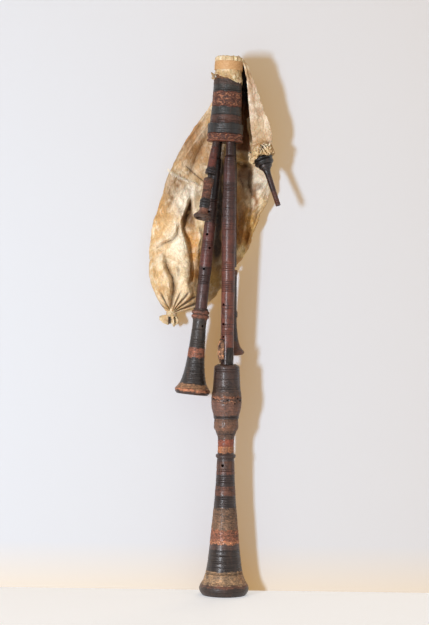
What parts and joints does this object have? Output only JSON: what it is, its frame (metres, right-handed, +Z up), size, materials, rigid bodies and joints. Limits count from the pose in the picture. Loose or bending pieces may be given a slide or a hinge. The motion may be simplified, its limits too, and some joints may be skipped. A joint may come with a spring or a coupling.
{
  "type": "zampogna",
  "caption": "Large Italian bagpipe: hide bag, tapered stock, keyed long chanter with barrel and bell, left chanter, drones and blowpipe.",
  "frame": {"origin": "middle of the stock's lower face, where the pipes leave it and where the instrument is held", "axes": "+Z up along the long chanter, +X to the right of someone facing the finger holes, -Y towards that person"},
  "size_m": [0.2784, 0.1571, 1.1319],
  "materials": {
    "hide": "dry untanned hide, matte with waxy patches",
    "leather": "smooth tan",
    "thread": "waxed hemp",
    "hide_thong": "dry hide strip",
    "brass": "dull",
    "cane": "scraped cane",
    "iron": "dark, worn",
    "black_wood": "black stain, satin",
    "stained_wood": "dark stain worn through in bands",
    "red_wood": "red-brown varnish, worn"
  },
  "bodies": {
    "stock": {"stock": "stained_wood", "bag": "hide", "neck_strap": "leather", "bag_tie": "hide_thong", "blowpipe_stock": "black_wood", "blowpipe_binding": "thread", "valve_tab": "leather"},
    "blowpipe": {"blowpipe": "red_wood", "blowpipe_lapping": "thread"},
    "valve": {"valve_flap": "leather"},
    "long_chanter": {"long_chanter": "red_wood", "long_chanter_top_lapping": "thread", "long_chanter_foot_lapping": "thread", "long_chanter_staple": "brass", "long_chanter_reed": "cane", "long_chanter_reed_binding": "thread", "key_saddles": "iron", "key_pins": "iron", "key_spring": "iron"},
    "key_touch": {"key_touch": "iron"},
    "key_flap": {"key_flap": "iron", "key_pad": "leather"},
    "fontanelle": {"fontanelle": "stained_wood"},
    "long_bell": {"long_bell": "red_wood"},
    "left_chanter": {"left_chanter": "red_wood", "left_chanter_top_lapping": "thread", "left_chanter_foot_lapping": "thread", "left_chanter_staple": "brass", "left_chanter_reed": "cane", "left_chanter_reed_binding": "thread"},
    "left_bell": {"left_bell": "red_wood"},
    "small_drone": {"small_drone": "red_wood", "small_drone_top_lapping": "thread", "small_drone_foot_lapping": "thread", "small_drone_staple": "brass", "small_drone_reed": "cane", "small_drone_reed_binding": "thread"},
    "small_drone_bell": {"small_drone_bell": "red_wood"},
    "large_drone": {"large_drone": "red_wood", "large_drone_top_lapping": "thread", "large_drone_foot_lapping": "thread", "large_drone_staple": "brass", "large_drone_reed": "cane", "large_drone_reed_binding": "thread"},
    "large_drone_bell": {"large_drone_bell": "red_wood"}
  },
  "joints": [
    {"name": "long_chanter_pull", "type": "slide", "parent": "stock", "child": "long_chanter", "axis": [0, 0, -1], "range_m": [0, 0.045]},
    {"name": "fontanelle_pull", "type": "slide", "parent": "long_chanter", "child": "fontanelle", "axis": [0, 0, -1], "range_m": [0, 0.028]},
    {"name": "long_bell_turn", "type": "hinge", "parent": "fontanelle", "child": "long_bell", "pos_m": [0.011, -0.006, -0.6], "axis": [0, 0, 1], "continuous": true},
    {"name": "key_touch_press", "type": "hinge", "parent": "long_chanter", "child": "key_touch", "pos_m": [0.01509, -0.02126, -0.484], "axis": [-0.9659, -0.2588, 0], "range_deg": [0, 7], "stiffness_Nm_per_rad": 0.2, "springref_deg": -5.73},
    {"name": "key_flap_close", "type": "hinge", "parent": "long_chanter", "child": "key_flap", "pos_m": [0.01509, -0.02126, -0.526], "axis": [0.9659, 0.2588, 0], "range_deg": [0, 9.25]},
    {"name": "left_chanter_pull", "type": "slide", "parent": "stock", "child": "left_chanter", "axis": [-0.0906, 0, -0.9959], "range_m": [0, 0.041]},
    {"name": "left_bell_turn", "type": "hinge", "parent": "left_chanter", "child": "left_bell", "pos_m": [-0.04593, 0.01, -0.35852], "axis": [0.0906, 0, 0.9959], "continuous": true},
    {"name": "small_drone_pull", "type": "slide", "parent": "stock", "child": "small_drone", "axis": [-0.1615, -0.2052, -0.9653], "range_m": [0, 0.03]},
    {"name": "small_drone_tune", "type": "slide", "parent": "small_drone", "child": "small_drone_bell", "axis": [-0.1615, -0.2052, -0.9653], "range_m": [-0.009, 0.012]},
    {"name": "large_drone_pull", "type": "slide", "parent": "stock", "child": "large_drone", "axis": [0.0087, 0.0698, -0.9975], "range_m": [0, 0.041]},
    {"name": "large_drone_tune", "type": "slide", "parent": "large_drone", "child": "large_drone_bell", "axis": [0.0087, 0.0698, -0.9975], "range_m": [-0.005, 0.02]},
    {"name": "blowpipe_pull", "type": "slide", "parent": "stock", "child": "blowpipe", "axis": [0.3083, -0.214, -0.9269], "range_m": [0, 0.02]},
    {"name": "valve_open", "type": "hinge", "parent": "stock", "child": "valve", "pos_m": [0.08174, 0.02678, -0.00661], "axis": [0.0342, 0.9762, -0.214], "range_deg": [0, 50]}
  ],
  "couplings": [
    {"joint": "key_flap_close", "follows": "key_touch_press", "ratio": 1.3158}
  ]
}
